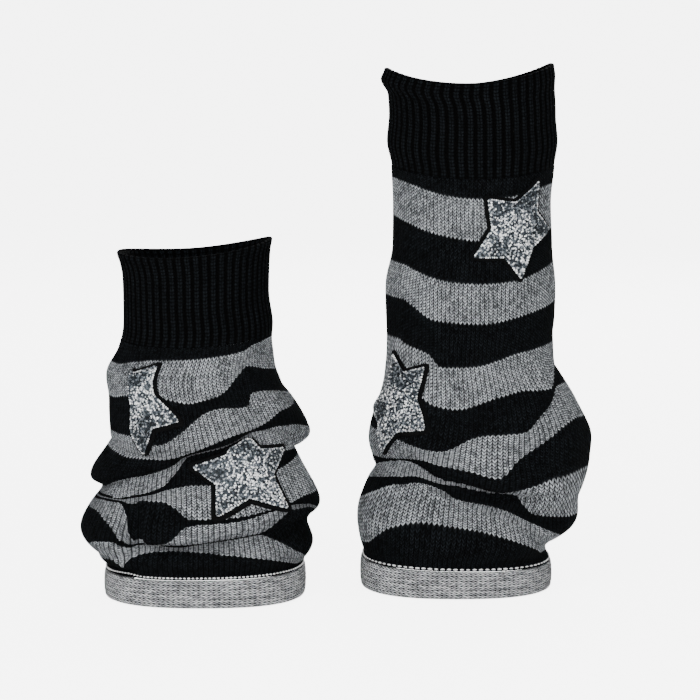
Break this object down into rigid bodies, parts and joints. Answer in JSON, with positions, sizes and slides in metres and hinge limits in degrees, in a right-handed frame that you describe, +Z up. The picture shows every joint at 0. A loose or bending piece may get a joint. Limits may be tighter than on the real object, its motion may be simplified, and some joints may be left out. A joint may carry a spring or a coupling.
{
  "type": "pair of knitted leg warmers filled out as worn",
  "caption": "Pair of hollow striped knit leg warmers with ribbed cuffs, doubled hems and sequin star patches, slouched as worn.",
  "frame": {"origin": "middle of the tall leg warmer's ribbed cuff, where a calf holds it", "axes": "+Z up along the leg, -Y towards the front, +X to the right seen from the front; the low leg warmer lies towards -X"},
  "size_m": [0.3562, 0.1616, 0.3646],
  "materials": {
    "black_rib": "matte 1x1 ribbed knit",
    "striped_knit": "plain stockinette in black and mid grey heather stripes",
    "hem_knit": "doubled grey heather band with the stitches lying sideways",
    "black_felt": "matte felt backing with a satin stitched edge",
    "sequins": "silver sequins lying at many small angles"
  },
  "bodies": {
    "root": {"tall_cuff": "black_rib", "tall_body": "striped_knit", "tall_hem": "hem_knit", "tall_star_upper_backing": "black_felt", "tall_star_upper_sequins": "sequins", "tall_star_lower_backing": "black_felt", "tall_star_lower_sequins": "sequins", "low_cuff": "black_rib", "low_body": "striped_knit", "low_hem": "hem_knit", "low_star_front_backing": "black_felt", "low_star_front_sequins": "sequins", "low_star_side_backing": "black_felt", "low_star_side_sequins": "sequins"}
  },
  "joints": []
}
